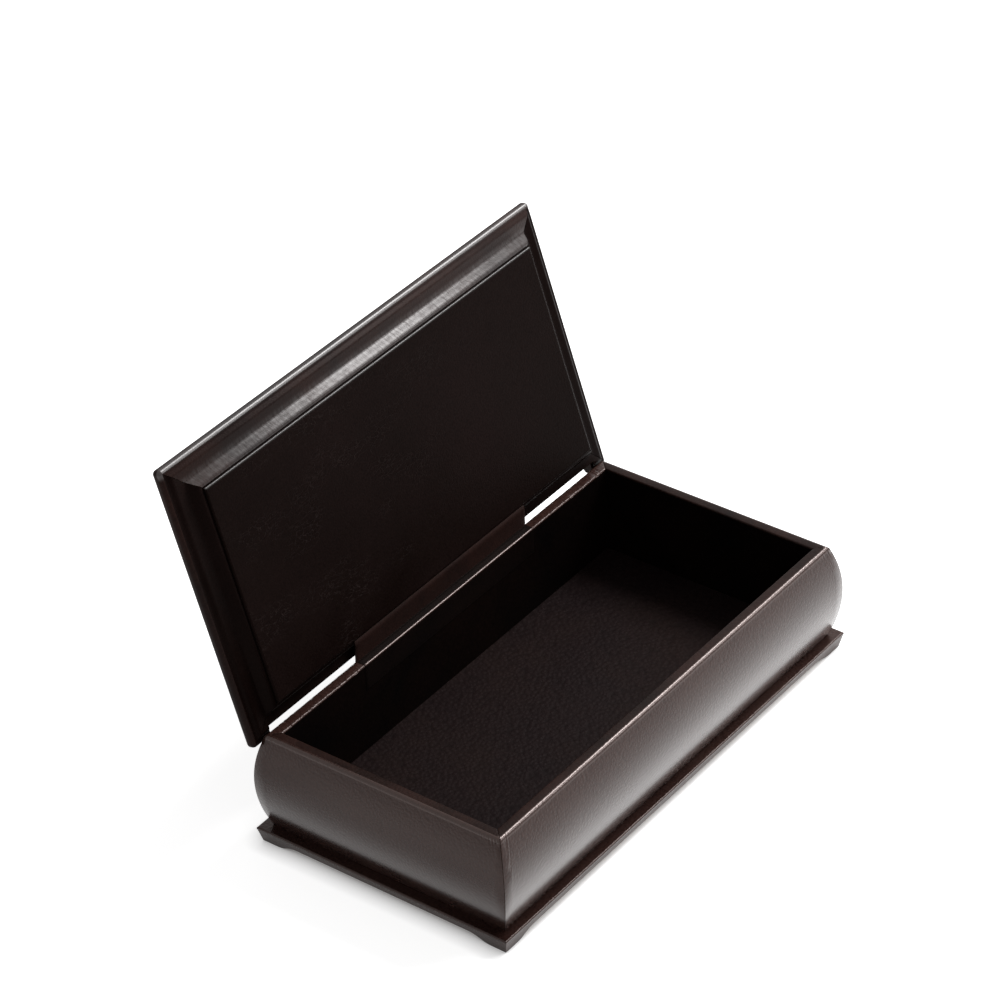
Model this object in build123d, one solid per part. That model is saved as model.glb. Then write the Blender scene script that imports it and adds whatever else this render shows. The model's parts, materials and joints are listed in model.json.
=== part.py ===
from build123d import *
from math import cos, radians, sin
import os

# Leather-covered valet box: a tray with four bowed walls on a low plinth with
# bracket feet, and a flat lid with a raised underside that plugs into the
# tray's mouth. A leather strip hinges the lid to the back wall.
#
# Frame: millimetres, +Z up, the front faces -Y, +X runs along the front to the
# right. The origin is on the table, under the middle of the plinth. The lid is
# built closed and then turned open about the hinge line, because the box
# rests with its lid open.

# ---------------------------------------------------------------- sizes

# rim, and how far the plinth and the lid stand out around it
rim_length = 222.0  # outside of the rim, end to end
rim_depth = 112.0  # outside of the rim, front to back
end_margin = 5.0  # past the rim at each end
side_margin = 4.5  # past the rim at the front and the back

# coverings
leather = 0.8  # thickness of every leather skin
lining_sheet = 0.4  # sheet under the plinth
edge_round = 0.6  # rounding where leather turns a corner
bead_under_round = 0.3  # rounding under the plinth's bead

# plinth
foot_height = 3.0  # clear gap under the plinth board
foot_flat = 8.0  # flat length of a foot along each side
foot_curve = 11.0  # run of the curved bracket beside it
foot_curve_pull = 0.45  # fullness of that curve, as a share of its run
plinth_thickness = 4.0  # board with its leather
bead_height = 1.4  # turned-over edge of the top leather
bead_seam = 0.2  # open seam under the bead
bead_proud = 0.25  # how far the bead stands out of the side leather
plinth_batter = 1.3  # how far the side leans in down to the table
lining_margin = 6.0  # bare margin around the sheet under the plinth
lining_foot_gap = 1.0  # between that sheet and the feet

# walls
wall_height = 44.2  # plinth top to rim
wall_thickness = 4.8  # at the rim, leather included
wall_bow = 4.3  # how far the outside bellies out at mid height
rim_outer_round = 1.2
rim_inner_round = 0.7
floor_thickness = 3.0  # board between the walls

# lid
lid_thickness = 4.6  # board with its leather, at the edge
lid_edge_round = 1.9  # bullnose of the lid's edge
lid_gap = 0.3  # clearance of the closed lid above the rim
lip_start = 1.6  # seam between the lid's cover and the frame leather
lip_run = 3.4  # width of the ogee that falls to the seat
lip_drop = 1.4  # how far it falls
plug_clearance = 0.5  # between the plug and the wall lining
cove_run = 1.3  # width of the cove on the plug's side
cove_pull_down = 0.4  # where the cove's curve turns, as a share of the plug's depth
cove_pull_in = 0.3  # and as a share of the cove's width
plug_depth = 3.8  # plug ledge below the seat
ledge_width = 1.8  # flat ledge around the panel
panel_gap = 0.3  # groove around the panel
panel_rise = 1.2  # panel face below the ledge
notch_lap = 0.2  # how far the rear notch reaches in over the rim
ear_overlap = 5.0  # how far the uncut ears reach in past the rim's ends

# hinge strip
hinge_length = 111.0
hinge_flap = 12.0  # how far it runs down inside the back wall
hinge_back = 0.6  # fold line behind the outside of the rim
lid_open_angle = 107.2  # from closed

# cutting shapes
cut_over = 1.0  # how far they run past what they cut

# ---------------------------------------------------------------- levels

outline_length = rim_length + 2 * end_margin
outline_depth = rim_depth + 2 * side_margin
plinth_top = foot_height + plinth_thickness
plinth_board_top = plinth_top - leather
bead_bottom = plinth_top - bead_height
side_top = bead_bottom - bead_seam
rim_top = plinth_top + wall_height
core_top = rim_top - leather
floor_board_top = plinth_top + floor_thickness
seat_level = rim_top + lid_gap
lid_under = seat_level + lip_drop
lid_top = lid_under + lid_thickness
hinge_y = rim_depth / 2 + hinge_back
hinge_z = rim_top - leather / 2

# distances in from the lid's edge
rim_inset = max(end_margin, side_margin)
plug_start = rim_inset + wall_thickness + plug_clearance
ledge_start = plug_start + cove_run
frame_width = ledge_start + ledge_width
panel_inset = frame_width + panel_gap
ledge_level = seat_level - plug_depth
panel_level = ledge_level - panel_rise
notch_depth = side_margin + notch_lap

# how far the mitre cuts reach out and in from a frame's outline
mitre_reach_out = wall_bow + cut_over
mitre_reach_in = max(frame_width, wall_thickness) + cut_over

# ---------------------------------------------------------------- helpers

nodes = {}


def block(length, depth, low, high):
    """Rectangular block centred on the box, between two levels."""
    return Pos(0, 0, (low + high) / 2) * Box(length, depth, high - low)


def block_between(x0, x1, y0, y1, z0, z1):
    """Rectangular block between two corners."""
    middle = Pos((x0 + x1) / 2, (y0 + y1) / 2, (z0 + z1) / 2)
    return middle * Box(x1 - x0, y1 - y0, z1 - z0)


def profile_face(points):
    """Closed face from corner points given as (inward, height)."""
    return make_face(Polyline(*points, close=True))


def bar(profile, run):
    """Straight bar along X with a profile drawn as (inward, height)."""
    start = Plane(origin=(-run / 2, 0, 0), x_dir=(0, 1, 0), z_dir=(1, 0, 0))
    return extrude(start * profile, run)


def mitre_wedge(length, depth, low, high):
    """Plan wedge of the front side between the two 45 degree mitres."""
    outer_x, outer_y = length / 2 + mitre_reach_out, depth / 2 + mitre_reach_out
    inner_x, inner_y = length / 2 - mitre_reach_in, depth / 2 - mitre_reach_in
    plan = [(-outer_x, -outer_y), (outer_x, -outer_y), (inner_x, -inner_y), (-inner_x, -inner_y)]
    return extrude(Pos(0, 0, low) * make_face(Polyline(*plan, close=True)), high - low)


def mitred_side(profile, length, depth, low, high):
    """Front side of a four-sided frame, cut by its mitres."""
    whole = Pos(0, -depth / 2, 0) * bar(profile, length + 2 * mitre_reach_out)
    return whole & mitre_wedge(length, depth, low, high)


def four_sides(profile, length, depth, low, high):
    """The four mitred sides of a frame, by name."""
    front = mitred_side(profile, length, depth, low, high)
    right = Rot(0, 0, 90) * mitred_side(profile, depth, length, low, high)
    return {
        "front": front,
        "back": Rot(0, 0, 180) * front,
        "right": right,
        "left": Rot(0, 0, 180) * right,
    }


# ---------------------------------------------------------------- plinth


def plinth_inset(level):
    """How far the plinth's side stands in from the outline at a level."""
    return bead_proud + plinth_batter * (side_top - level) / side_top


def plinth_body(low, high, inward=0.0):
    """Battered block of the plinth's sides, cut down by a skin's thickness."""
    ends = []
    for level in (low, high):
        inset = 2 * (plinth_inset(level) + inward)
        ends.append(Pos(0, 0, level) * Rectangle(outline_length - inset, outline_depth - inset))
    return loft(ends)


def bracket_cut(side_length, reach):
    """Space under the plinth board along X, with the bracket curves at its ends."""
    foot_end = side_length / 2 - foot_flat
    curve_end = foot_end - foot_curve
    pull = foot_curve * foot_curve_pull
    right = Bezier(
        (curve_end, foot_height),
        (curve_end + pull, foot_height),
        (foot_end - pull, 0),
        (foot_end, 0),
    )
    left = mirror(right, about=Plane.YZ)
    outline = left + Line((-curve_end, foot_height), (curve_end, foot_height)) + right
    outline += Line((foot_end, 0), (-foot_end, 0))
    return extrude(Plane.XZ * make_face(outline), reach / 2, both=True)


under_front = bracket_cut(outline_length, outline_depth * 2)
under_sides = Rot(0, 0, 90) * bracket_cut(outline_depth, outline_length * 2)

nodes["plinth_board"] = plinth_body(foot_height, side_top, leather) + block(
    outline_length - 2 * leather, outline_depth - 2 * leather, side_top, plinth_board_top
)

foot_reach = foot_flat + foot_curve
feet = plinth_body(0, foot_height, leather) - under_front - under_sides
for side_x, end_name in ((-1, "left"), (1, "right")):
    for side_y, face_name in ((-1, "front"), (1, "back")):
        corner = Pos(side_x * outline_length / 2, side_y * outline_depth / 2, foot_height / 2)
        nodes[f"bracket_foot_{face_name}_{end_name}"] = feet & (
            corner * Box(2 * foot_reach, 2 * foot_reach, foot_height)
        )

side_skin = plinth_body(0, side_top) - plinth_body(0, side_top, leather) - under_front - under_sides
for name, turn, length, depth in (
    ("front", 0, outline_length, outline_depth),
    ("right", 90, outline_depth, outline_length),
    ("back", 180, outline_length, outline_depth),
    ("left", 270, outline_depth, outline_length),
):
    wedge = Rot(0, 0, turn) * mitre_wedge(length, depth, 0, side_top)
    nodes[f"plinth_side_leather_{name}"] = side_skin & wedge

top_skin = block(outline_length, outline_depth, bead_bottom, plinth_top)
top_skin = fillet(top_skin.edges().group_by(Axis.Z)[-1], edge_round)
top_skin = fillet(top_skin.edges().group_by(Axis.Z)[0], bead_under_round)
nodes["plinth_top_leather"] = top_skin - block(
    outline_length - 2 * leather,
    outline_depth - 2 * leather,
    bead_bottom - cut_over,
    plinth_board_top,
)

lining_clear = foot_reach + lining_foot_gap
under_sheet = block(
    outline_length - 2 * lining_margin,
    outline_depth - 2 * lining_margin,
    foot_height - lining_sheet,
    foot_height,
)
for side_x in (-1, 1):
    for side_y in (-1, 1):
        corner = Pos(side_x * outline_length / 2, side_y * outline_depth / 2, foot_height)
        under_sheet -= corner * Box(2 * lining_clear, 2 * lining_clear, 2 * foot_height)
nodes["plinth_underside_lining"] = under_sheet

# ---------------------------------------------------------------- walls and floor


def bowed_face(outer_inset, inner_inset, top):
    """Wall section with its outside bellied, as (inward from the rim, height)."""
    middle = (plinth_top + rim_top) / 2
    foot, rim = (outer_inset, plinth_top), (outer_inset, top)
    belly = ThreePointArc(rim, (outer_inset - wall_bow, middle), foot)
    sides = Polyline(foot, (inner_inset, plinth_top), (inner_inset, top), rim)
    return make_face(belly + sides)


def rounded_rim(section):
    """Wall section with the two top corners of its rim rounded."""
    top_corners = section.vertices().group_by(Axis.Y)[-1].sort_by(Axis.X)
    section = fillet(top_corners[0], rim_outer_round)
    top_corners = section.vertices().group_by(Axis.Y)[-1].sort_by(Axis.X)
    return fillet(top_corners[-1], rim_inner_round)


core_inner = wall_thickness - leather
wall_section = rounded_rim(bowed_face(0, wall_thickness, rim_top))
core_section = bowed_face(leather, core_inner, core_top)


def upright_section(near, far, low, high):
    """Upright strip of a wall's section, as (inward from the rim, height)."""
    return profile_face([(near, low), (far, low), (far, high), (near, high)])


lining_section = upright_section(core_inner, wall_thickness, floor_board_top, core_top)
inside_section = upright_section(core_inner, wall_thickness + cut_over, plinth_top, core_top)
skin_section = wall_section - core_section - inside_section

for name, solid in four_sides(core_section, rim_length, rim_depth, plinth_top, rim_top).items():
    nodes[f"wall_{name}"] = solid
for name, solid in four_sides(skin_section, rim_length, rim_depth, plinth_top, rim_top).items():
    nodes[f"wall_leather_{name}"] = solid
for name, solid in four_sides(lining_section, rim_length, rim_depth, plinth_top, rim_top).items():
    nodes[f"wall_lining_{name}"] = solid

nodes["floor_board"] = block(
    rim_length - 2 * core_inner, rim_depth - 2 * core_inner, plinth_top, floor_board_top
)
nodes["floor_leather"] = block(
    rim_length - 2 * wall_thickness,
    rim_depth - 2 * wall_thickness,
    floor_board_top,
    floor_board_top + leather,
)

# ---------------------------------------------------------------- hinge strip, box side

# The strip lies flush in the rim leather and the wall lining, and ends in a
# half-round fold centred on the hinge line.
rim_inner_y = rim_depth / 2 - wall_thickness
strip_half = hinge_length / 2
rim_leaf = block_between(-strip_half, strip_half, rim_inner_y, hinge_y, core_top, rim_top)
rim_leaf = fillet(rim_leaf.edges().filter_by(Axis.X).group_by(Axis.Z)[-1].sort_by(Axis.Y)[0], rim_inner_round)
fold = Pos(0, hinge_y, hinge_z) * Rot(0, 90, 0) * Cylinder(leather / 2, hinge_length)
down_leaf = block_between(
    -strip_half, strip_half, rim_inner_y, rim_inner_y + leather, rim_top - hinge_flap, core_top
)
box_leaf = rim_leaf + fold + down_leaf
nodes["hinge_leaf_box"] = box_leaf
nodes["wall_leather_back"] -= box_leaf
nodes["wall_lining_back"] -= box_leaf

# ---------------------------------------------------------------- lid, built closed


def notch(grow):
    """Space cut out of the lid's rear edge, grown by a skin's thickness."""
    half = rim_length / 2 - ear_overlap + grow
    rear = outline_depth / 2
    front = rear - notch_depth - grow
    return block_between(
        -half, half, front, rear + cut_over, panel_level - cut_over, lid_top + cut_over
    )


lid_nodes = {}
cover = block(outline_length, outline_depth, lid_under, lid_top)
cover = fillet(cover.edges().filter_by(Axis.Z), lid_edge_round)
cover = fillet(cover.edges().group_by(Axis.Z)[-1], lid_edge_round)
cover = fillet(cover.edges().group_by(Axis.Z)[0], lid_edge_round)
cover -= notch(0)
board = block(
    outline_length - 2 * leather, outline_depth - 2 * leather, lid_under + leather, lid_top - leather
)
board = fillet(board.edges().filter_by(Axis.Z), lid_edge_round - leather)
board = fillet(board.edges().group_by(Axis.Z)[-1], lid_edge_round - leather)
board = fillet(board.edges().group_by(Axis.Z)[0], lid_edge_round - leather)
board -= notch(leather)
frame_seat = block(
    outline_length - 2 * lip_start,
    outline_depth - 2 * lip_start,
    lid_under - cut_over,
    lid_under + leather,
) - notch(leather)
lid_nodes["lid_board"] = board
lid_nodes["lid_cover_leather"] = cover - board - frame_seat

board_under = lid_under + leather
lip_end = lip_start + lip_run


def lid_frame_section(skin):
    """Underside moulding as (inward, height): ogee lip, seat, cove and ledge."""
    lip = Bezier(
        (lip_start + 2 * skin, lid_under + skin),
        (lip_start + lip_run / 2 + skin, lid_under + skin),
        (lip_start + lip_run / 2 + skin, seat_level + skin),
        (lip_end + skin, seat_level + skin),
    )
    seat = Line((lip_end + skin, seat_level + skin), (plug_start + skin, seat_level + skin))
    cove = Bezier(
        (plug_start + skin, seat_level + skin),
        (plug_start + skin, ledge_level + plug_depth * cove_pull_down + skin),
        (ledge_start - cove_run * cove_pull_in + skin, ledge_level + skin),
        (ledge_start + skin, ledge_level + skin),
    )
    close = Polyline(
        (ledge_start + skin, ledge_level + skin),
        (frame_width - skin, ledge_level + skin),
        (frame_width - skin, board_under),
        (lip_start + 2 * skin, board_under),
    )
    edge = [lip, seat, cove, close]
    if skin < leather:
        edge.append(Line((lip_start + 2 * skin, board_under), (lip_start + 2 * skin, lid_under + skin)))
    return make_face(edge)


moulding_section = lid_frame_section(leather)
frame_section = lid_frame_section(0.0)
for name, solid in four_sides(moulding_section, outline_length, outline_depth, panel_level, lid_top).items():
    lid_nodes[f"lid_moulding_{name}"] = solid - notch(2 * leather)
frame_skin = frame_section - moulding_section
for name, solid in four_sides(frame_skin, outline_length, outline_depth, panel_level, lid_top).items():
    lid_nodes[f"lid_frame_leather_{name}"] = solid - notch(leather)

panel_skin = block(
    outline_length - 2 * panel_inset, outline_depth - 2 * panel_inset, panel_level, board_under
)
panel_skin = fillet(panel_skin.edges().group_by(Axis.Z)[0], edge_round)
panel_board = block(
    outline_length - 2 * (panel_inset + leather),
    outline_depth - 2 * (panel_inset + leather),
    panel_level + leather,
    board_under,
)
lid_nodes["lid_panel_board"] = panel_board
lid_nodes["lid_panel_leather"] = panel_skin - panel_board

# The strip's lid side takes the place of the rear frame leather, and runs on
# under the notch to just above the fold.
strip_span = block_between(
    -strip_half, strip_half, 0, outline_depth / 2, panel_level - cut_over, lid_top
)
rear_skin = lid_nodes["lid_frame_leather_back"]
tongue = block_between(
    -strip_half,
    strip_half,
    outline_depth / 2 - notch_depth - 2 * leather,
    hinge_y,
    seat_level,
    seat_level + leather,
)
lid_nodes["hinge_leaf_lid"] = (rear_skin & strip_span) + tongue
lid_nodes["lid_frame_leather_back"] = rear_skin - strip_span

hinge_line = Pos(0, hinge_y, hinge_z)
open_pose = hinge_line * Rot(-lid_open_angle, 0, 0) * Pos(0, -hinge_y, -hinge_z)
for name, solid in lid_nodes.items():
    nodes[name] = open_pose * solid

# ---------------------------------------------------------------- files

os.makedirs("parts", exist_ok=True)
for name, solid in nodes.items():
    export_step(solid, f"parts/{name}.step")
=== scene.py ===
"""Leather-covered valet box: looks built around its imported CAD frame."""

import json
import math

import bmesh
import bpy
from mathutils import Matrix, Vector, noise


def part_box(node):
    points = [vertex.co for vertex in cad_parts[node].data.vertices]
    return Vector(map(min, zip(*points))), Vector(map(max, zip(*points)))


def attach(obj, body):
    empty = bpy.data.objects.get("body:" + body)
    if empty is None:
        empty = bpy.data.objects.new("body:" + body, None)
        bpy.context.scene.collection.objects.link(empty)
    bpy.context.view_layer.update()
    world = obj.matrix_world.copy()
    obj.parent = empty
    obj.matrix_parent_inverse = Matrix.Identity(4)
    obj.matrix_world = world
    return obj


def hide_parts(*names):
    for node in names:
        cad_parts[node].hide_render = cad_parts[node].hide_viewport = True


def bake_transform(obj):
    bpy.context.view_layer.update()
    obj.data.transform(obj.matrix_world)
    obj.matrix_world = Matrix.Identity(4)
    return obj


bl_info = {
    "name": "Leather valet box",
    "version": (1, 0, 0),
    "blender": (4, 5, 0),
    "location": "View3D > Sidebar > Valet Box",
    "description": "Builds the leather, hinge strip and stage of a valet box around its frame",
    "category": "Object",
}

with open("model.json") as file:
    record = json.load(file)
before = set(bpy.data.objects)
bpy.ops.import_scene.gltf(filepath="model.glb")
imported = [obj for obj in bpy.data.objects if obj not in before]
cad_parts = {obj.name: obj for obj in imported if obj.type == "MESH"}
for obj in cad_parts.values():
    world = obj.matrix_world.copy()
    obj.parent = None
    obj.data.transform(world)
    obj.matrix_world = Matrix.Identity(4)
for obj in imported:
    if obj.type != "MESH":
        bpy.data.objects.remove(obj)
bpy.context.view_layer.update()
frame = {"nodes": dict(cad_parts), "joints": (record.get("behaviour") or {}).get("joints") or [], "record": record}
MM = 0.001

# ---------------------------------------------------------------- places read from the frame

LID_JOINT = frame["joints"][0]
HINGE = Vector(LID_JOINT["pos_m"])
OPEN_ANGLE = math.radians(LID_JOINT["range_deg"][1])
OPENED = Matrix.Translation(HINGE) @ Matrix.Rotation(-OPEN_ANGLE, 4, "X") @ Matrix.Translation(-HINGE)
CLOSED = OPENED.inverted()

INNER_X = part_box("wall_lining_right")[0].x
INNER_Y = -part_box("wall_lining_front")[1].y
CORE_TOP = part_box("wall_lining_front")[1].z
RIM_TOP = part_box("wall_leather_front")[1].z
WALL_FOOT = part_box("wall_leather_front")[0].z
BELLY_Y = -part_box("wall_leather_front")[0].y
STRIP_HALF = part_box("hinge_leaf_box")[1].x
FLAP_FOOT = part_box("hinge_leaf_box")[0].z
LID_HALF_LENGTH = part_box("lid_cover_leather")[1].x
PLINTH_HALF_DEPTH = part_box("plinth_top_leather")[1].y


def closed_box(node):
    """Lowest and highest corner of a lid node with the lid shut."""
    mesh = frame["nodes"][node].data
    points = [CLOSED @ vertex.co for vertex in mesh.vertices]
    low = Vector([min(point[axis] for point in points) for axis in range(3)])
    high = Vector([max(point[axis] for point in points) for axis in range(3)])
    return low, high


FRAME_LEATHER = closed_box("lid_frame_leather_front")
PANEL = closed_box("lid_panel_leather")

# ---------------------------------------------------------------- small fixed sizes

MERGE_DISTANCE = 1e-7
SMOOTH_ANGLE = 38.0  # edges that turn by more degrees stay sharp
BELLY_STEPS = 30
LIP_STEPS = 12
COVE_STEPS = 10
PANEL_GAP = 0.3 * MM  # between the lid frame's leather and the panel
NOTCH_DEPTH = 4.7 * MM  # how far the lid's rear edge is cut back, leather left out
EAR_INSET = 5.0 * MM  # from the walls' outside to the ends of that notch
FRAME_MITRE_ROUND = 0.18 * MM
PLEAT_HALF_WAVE = 0.62 * MM  # from a pleat's crest to the hollow beside it
PLEAT_RISE = 1.6 * MM  # depth under the rim over which the pleats grow
PLEAT_START = 0.9 * MM  # from a corner to the first loop of edges that carries pleats
PLEAT_STEP = 0.21 * MM
CRUMPLE_STEP = 0.7 * MM
STRIP_PROUD = 0.12 * MM  # how far the strip stands out from the lining and the rim
STRIP_EDGE_ROUND = 0.12 * MM
STRIP_STEP = 1.5 * MM
FOLD_SETBACK = 1.35 * MM  # from the hinge's axis forward to the fold
FOLD_RISE = 0.9 * MM  # how far the pressed fold stands up from the rim
CREASE_WIDTH = 0.5 * MM  # of the crease that is pressed along the fold's foot
CREASE_DEPTH = 0.3 * MM
BEND_PULL = 2.5 * MM  # reach of the handles of the free part's curve


# ---------------------------------------------------------------- sizes and colours


class BoxSizes(bpy.types.PropertyGroup):
    """Sizes of the leather work that the frame leaves plain."""

    leather: bpy.props.FloatProperty(
        name="Leather", description="Thickness of every leather skin",
        default=RIM_TOP - CORE_TOP, unit="LENGTH")
    wall: bpy.props.FloatProperty(
        name="Wall", description="Thickness of a wall at its rim, leather included",
        default=4.8 * MM, unit="LENGTH")
    rim_outer_round: bpy.props.FloatProperty(
        name="Outer rim rounding", description="Radius where the leather turns over the rim",
        default=1.7 * MM, unit="LENGTH")
    rim_inner_round: bpy.props.FloatProperty(
        name="Inner rim rounding", description="Radius at the inner edge of the rim",
        default=0.7 * MM, unit="LENGTH")
    mitre_round: bpy.props.FloatProperty(
        name="Mitre rounding", description="Softness of the leather at a mitred corner",
        default=0.35 * MM, unit="LENGTH")
    pleat_height: bpy.props.FloatProperty(
        name="Pleat height", description="Height of the leather pleats at the rim's corners",
        default=0.4 * MM, unit="LENGTH")
    pleat_reach: bpy.props.FloatProperty(
        name="Pleat reach", description="How far the pleats spread from a corner",
        default=6.0 * MM, unit="LENGTH")
    pleat_drop: bpy.props.FloatProperty(
        name="Pleat drop", description="How far the pleats run down from the rim",
        default=11.0 * MM, unit="LENGTH")
    crumple: bpy.props.FloatProperty(
        name="Rim crumple", description="Height of the wrinkles on the back rim",
        default=0.36 * MM, unit="LENGTH")
    lip_start: bpy.props.FloatProperty(
        name="Lip start", description="Where the lid's moulding starts, in from the lid's edge",
        default=1.6 * MM, unit="LENGTH")
    lip_run: bpy.props.FloatProperty(
        name="Lip run", description="Width of the ogee at the lid's edge",
        default=3.4 * MM, unit="LENGTH")
    lip_drop: bpy.props.FloatProperty(
        name="Lip drop", description="How far the ogee falls to the seat",
        default=1.4 * MM, unit="LENGTH")
    plug_start: bpy.props.FloatProperty(
        name="Plug start", description="Where the cove starts, in from the lid's edge",
        default=10.3 * MM, unit="LENGTH")
    cove_run: bpy.props.FloatProperty(
        name="Cove run", description="Width of the cove", default=1.3 * MM, unit="LENGTH")
    cove_bridge: bpy.props.FloatProperty(
        name="Cove bridge", description="How far out the leather starts to bridge the cove's corner",
        default=1.3 * MM, unit="LENGTH")
    seam_gap: bpy.props.FloatProperty(
        name="Seam gap", description="Gap between the leathers that meet in a mitre",
        default=0.16 * MM, unit="LENGTH")


class BoxColours(bpy.types.PropertyGroup):
    """Colours of the box and of its stage, linear."""

    leather: bpy.props.FloatVectorProperty(
        name="Cover leather", description="Main tone of the cover leather",
        default=(0.031, 0.0132, 0.0102), subtype="COLOR", min=0.0, max=1.0)
    leather_light: bpy.props.FloatVectorProperty(
        name="Rubbed leather", description="Lighter tone in the leather's clouds",
        default=(0.043, 0.0215, 0.0172), subtype="COLOR", min=0.0, max=1.0)
    panel: bpy.props.FloatVectorProperty(
        name="Panel leather", description="Tone of the panel under the lid",
        default=(0.0052, 0.0023, 0.0017), subtype="COLOR", min=0.0, max=1.0)
    panel_light: bpy.props.FloatVectorProperty(
        name="Panel clouds", description="Lighter tone in the panel's clouds",
        default=(0.0110, 0.0060, 0.0054), subtype="COLOR", min=0.0, max=1.0)
    # painted shade: the lining inside the walls is darker than the tray's floor, standing in for the shade inside
    # the tray
    lining: bpy.props.FloatVectorProperty(
        name="Wall lining", description="Tone of the lining inside the walls",
        default=(0.0018, 0.0012, 0.0012), subtype="COLOR", min=0.0, max=1.0)
    tray_floor: bpy.props.FloatVectorProperty(
        name="Tray floor", description="Tone of the tray's floor",
        default=(0.009, 0.0054, 0.0058), subtype="COLOR", min=0.0, max=1.0)
    board: bpy.props.FloatVectorProperty(
        name="Board", description="Colour of the boards under the leather",
        default=(0.32, 0.18, 0.09), subtype="COLOR", min=0.0, max=1.0)
    cloth: bpy.props.FloatVectorProperty(
        name="Underside cloth", description="Colour of the sheet under the plinth",
        default=(0.012, 0.009, 0.008), subtype="COLOR", min=0.0, max=1.0)
    floor: bpy.props.FloatVectorProperty(
        name="Floor", description="Colour of the studio floor",
        default=(0.9, 0.9, 0.9), subtype="COLOR", min=0.0, max=1.0)


def sizes():
    """Sizes that this scene holds."""
    return bpy.context.scene.valet_box_sizes


def colours():
    """Colours that this scene holds."""
    return bpy.context.scene.valet_box_colours


# ---------------------------------------------------------------- modelling helpers


class Pen:
    """Draws a closed section as (inward, height), by extruding and spinning its last point."""

    def __init__(self, mesh, inward, height):
        self.mesh = mesh
        self.first = mesh.verts.new((0.0, inward, height))
        self.tip = self.first

    def line(self, inward, height):
        """Straight stretch to a point."""
        made = bmesh.ops.extrude_vert_indiv(self.mesh, verts=[self.tip])
        self.tip = made["verts"][0]
        self.tip.co = (0.0, inward, height)

    def arc(self, inward, height, angle, steps):
        """Round stretch about a centre, anticlockwise for a positive angle in degrees."""
        made = bmesh.ops.spin(
            self.mesh, geom=[self.tip], cent=(0.0, inward, height), axis=(1.0, 0.0, 0.0),
            dvec=(0.0, 0.0, 0.0), angle=math.radians(angle), steps=steps, use_duplicate=False)
        self.tip = [item for item in made["geom_last"] if isinstance(item, bmesh.types.BMVert)][0]

    def curve(self, control, steps):
        """Stretch along the curve of four control points, the first of which is the tip."""
        for step in range(1, steps + 1):
            self.line(*bezier(control, step / steps))

    def close(self):
        """Closes the section and fills it."""
        self.mesh.edges.new((self.tip, self.first))
        bmesh.ops.remove_doubles(self.mesh, verts=self.mesh.verts, dist=MERGE_DISTANCE)
        bmesh.ops.contextual_create(self.mesh, geom=self.mesh.edges[:])


def bezier(control, share):
    """Point of a cubic curve at a share of its way."""
    rest = 1.0 - share
    weights = (rest ** 3, 3 * rest ** 2 * share, 3 * rest * share ** 2, share ** 3)
    return tuple(sum(w * point[axis] for w, point in zip(weights, control)) for axis in (0, 1))


def extrude_along(mesh, start, end):
    """Pulls the filled section into a bar along X, from one place to another."""
    bmesh.ops.translate(mesh, verts=mesh.verts, vec=(start, 0.0, 0.0))
    made = bmesh.ops.extrude_face_region(mesh, geom=mesh.faces[:])
    moved = [item for item in made["geom"] if isinstance(item, bmesh.types.BMVert)]
    bmesh.ops.translate(mesh, verts=moved, vec=(end - start, 0.0, 0.0))


def cut_off(mesh, point, normal):
    """Cuts away what lies past a plane and fills the cut; gives the faces that fill it."""
    before = set(mesh.faces)
    made = bmesh.ops.bisect_plane(
        mesh, geom=mesh.verts[:] + mesh.edges[:] + mesh.faces[:], plane_co=point,
        plane_no=normal, clear_outer=True, dist=MERGE_DISTANCE)
    edges = [item for item in made["geom_cut"] if isinstance(item, bmesh.types.BMEdge)]
    filled = bmesh.ops.holes_fill(mesh, edges=edges, sides=0)
    return [face for face in filled["faces"] if face not in before]


def soften(mesh, faces, radius):
    """Rounds the outline of some faces."""
    edges = list(dict.fromkeys(edge for face in faces for edge in face.edges))
    bmesh.ops.bevel(
        mesh, geom=edges, offset=radius, segments=2, profile=0.5,
        affect="EDGES", material=-1, clamp_overlap=True)


def cross_loops(mesh, places):
    """Adds a loop of edges around the bar at each place along X."""
    for place in places:
        bmesh.ops.bisect_plane(
            mesh, geom=mesh.verts[:] + mesh.edges[:] + mesh.faces[:],
            plane_co=(place, 0.0, 0.0), plane_no=(1.0, 0.0, 0.0), dist=MERGE_DISTANCE)


def mitre(mesh, half_length, half_depth, left=True, right=True):
    """Cuts ends of a front-facing bar at 45 degrees, half a seam's gap short; gives the caps."""
    back = sizes().seam_gap / math.sqrt(2.0)
    caps = []
    if left:
        caps += cut_off(mesh, (back - half_length, -half_depth, 0.0), (-1.0, 1.0, 0.0))
    if right:
        caps += cut_off(mesh, (half_length - back, -half_depth, 0.0), (1.0, 1.0, 0.0))
    return caps


def pour(part, whole):
    """Adds a part's mesh to a whole and frees the part."""
    carrier = bpy.data.meshes.new("carrier")
    part.to_mesh(carrier)
    part.free()
    whole.from_mesh(carrier)
    bpy.data.meshes.remove(carrier)


def four_sides(half_x, half_y):
    """Name, turn in degrees, half length and half depth of each side of a box."""
    return (("front", 0, half_x, half_y), ("right", 90, half_y, half_x),
            ("back", 180, half_x, half_y), ("left", 270, half_y, half_x))


def piece(name, mesh, materials, body=None, nodes=(), turn=None):
    """Makes a finished piece of a bmesh, on its body and for the nodes it replaces."""
    if turn is not None:
        bmesh.ops.transform(mesh, matrix=turn, verts=mesh.verts)
    bmesh.ops.recalc_face_normals(mesh, faces=mesh.faces)
    data = bpy.data.meshes.new(name)
    mesh.to_mesh(data)
    mesh.free()
    data.shade_smooth()
    data.set_sharp_from_angle(angle=math.radians(SMOOTH_ANGLE))
    for material in materials:
        data.materials.append(material)
    made = bpy.data.objects.new(name, data)
    bpy.context.scene.collection.objects.link(made)
    if body:
        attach(made, body)
    if nodes:
        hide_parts(*nodes)
    return made


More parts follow.
